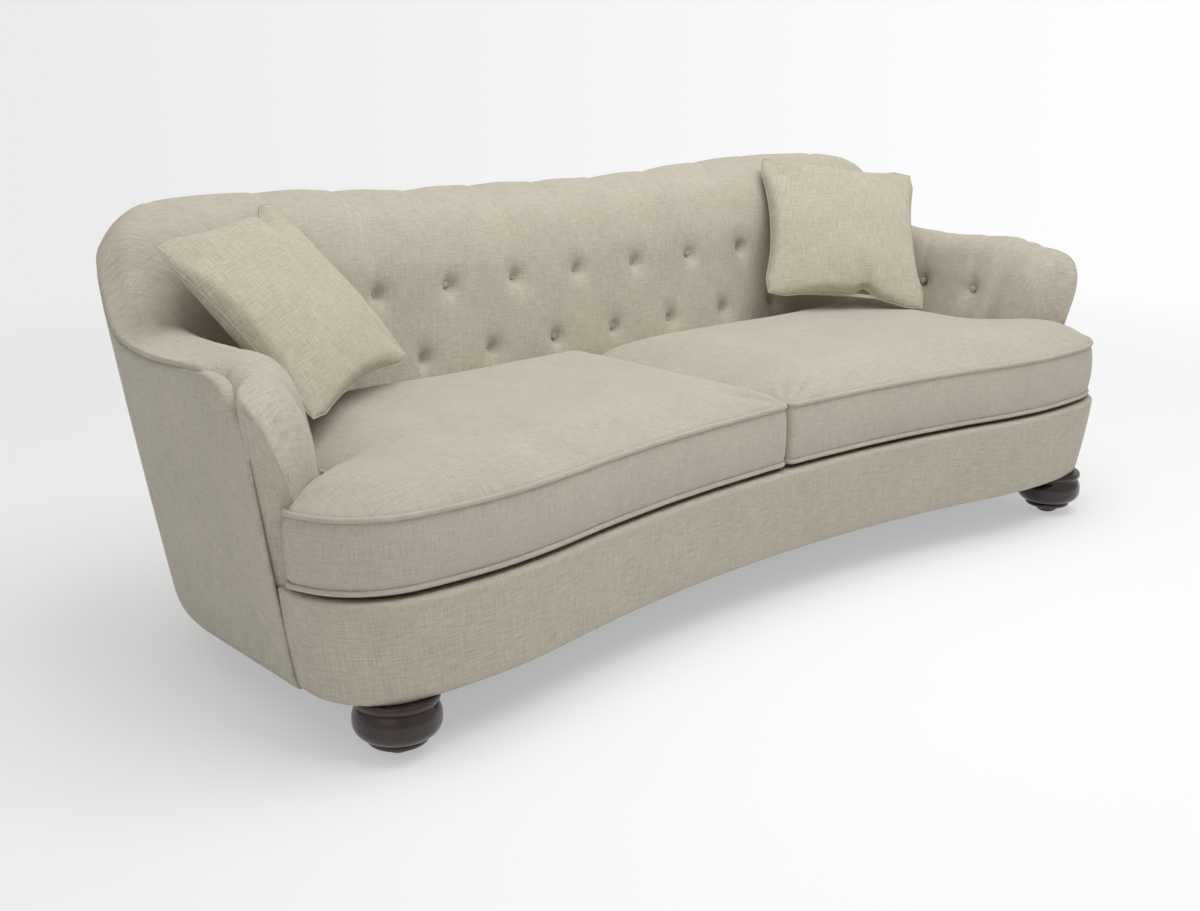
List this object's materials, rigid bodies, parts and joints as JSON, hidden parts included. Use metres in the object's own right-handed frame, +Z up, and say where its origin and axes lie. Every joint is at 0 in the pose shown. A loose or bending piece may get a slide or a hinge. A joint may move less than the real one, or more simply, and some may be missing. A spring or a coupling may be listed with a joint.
{
  "type": "camelback sofa",
  "caption": "Upholstered sofa with a curved front, low flared arms, a button-tufted back that rises at the corners, loose seat cushions, throw pillows and turned bun feet.",
  "frame": {"origin": "on the floor, under the middle of the sofa's bounding box", "axes": "+X to the right as seen from the front, along the length; -Y towards the front; +Z up"},
  "size_m": [2.515, 1.089, 0.9096],
  "materials": {
    "frame_wood": "raw sawn",
    "webbing": "woven",
    "spring_steel": "satin",
    "steel": "satin",
    "deck_cloth": "woven",
    "dust_cloth": "thin non-woven",
    "linen": "woven oatmeal linen",
    "foam": "soft foam wrapped in wadding",
    "zip": "matt",
    "pillow_linen": "woven oatmeal linen",
    "fibre": "loose fibre fill",
    "foot_wood": "dark polished",
    "glide_plastic": "matt"
  },
  "bodies": {
    "sofa": {"front_rail": "frame_wood", "back_rail": "frame_wood", "side_rail_left": "frame_wood", "side_rail_right": "frame_wood", "centre_rail": "frame_wood", "rear_corner_rail_left": "frame_wood", "rear_corner_rail_right": "frame_wood", "corner_blocks": "frame_wood", "back_uprights": "frame_wood", "back_post_left": "frame_wood", "back_post_right": "frame_wood", "arm_post_left": "frame_wood", "arm_post_right": "frame_wood", "arm_rear_post_left": "frame_wood", "arm_rear_post_right": "frame_wood", "arm_top_rail_left": "frame_wood", "arm_top_rail_right": "frame_wood", "back_top_rail": "frame_wood", "back_webbing": "webbing", "seat_springs": "spring_steel", "spring_clips": "steel", "foot_bolts": "steel", "foot_plates": "steel", "seat_deck": "deck_cloth", "dust_cover": "dust_cloth", "front_border": "linen", "outside_arm_left": "linen", "outside_arm_right": "linen", "outside_back": "linen", "inside_arm_left": "linen", "inside_arm_right": "linen", "inside_back": "linen", "back_buttons": "linen", "arm_buttons": "linen", "foot_front_left": "foot_wood", "foot_front_right": "foot_wood", "foot_rear_left": "foot_wood", "foot_rear_right": "foot_wood", "centre_leg": "foot_wood", "foot_glides": "glide_plastic"},
    "seat_left": {"seat_cover_left": "linen", "seat_core_left": "foam", "seat_piping_left": "linen", "seat_zip_left": "zip"},
    "seat_right": {"seat_cover_right": "linen", "seat_core_right": "foam", "seat_piping_right": "linen", "seat_zip_right": "zip"},
    "pillow_left": {"pillow_cover_left": "pillow_linen", "pillow_filling_left": "fibre", "pillow_zip_left": "zip"},
    "pillow_right": {"pillow_cover_right": "pillow_linen", "pillow_filling_right": "fibre", "pillow_zip_right": "zip"}
  },
  "joints": [
    {"name": "seat_left_lift", "type": "slide", "parent": "sofa", "child": "seat_left", "axis": [0, -0.5, 0.866], "range_m": [0, 0.3]},
    {"name": "seat_right_lift", "type": "slide", "parent": "sofa", "child": "seat_right", "axis": [0, -0.5, 0.866], "range_m": [0, 0.3]},
    {"name": "pillow_left_lift", "type": "slide", "parent": "seat_left", "child": "pillow_left", "axis": [0.343, -0.6492, 0.6789], "range_m": [0, 0.25]},
    {"name": "pillow_right_lift", "type": "slide", "parent": "seat_right", "child": "pillow_right", "axis": [-0.3641, -0.6784, 0.6382], "range_m": [0, 0.25]}
  ]
}
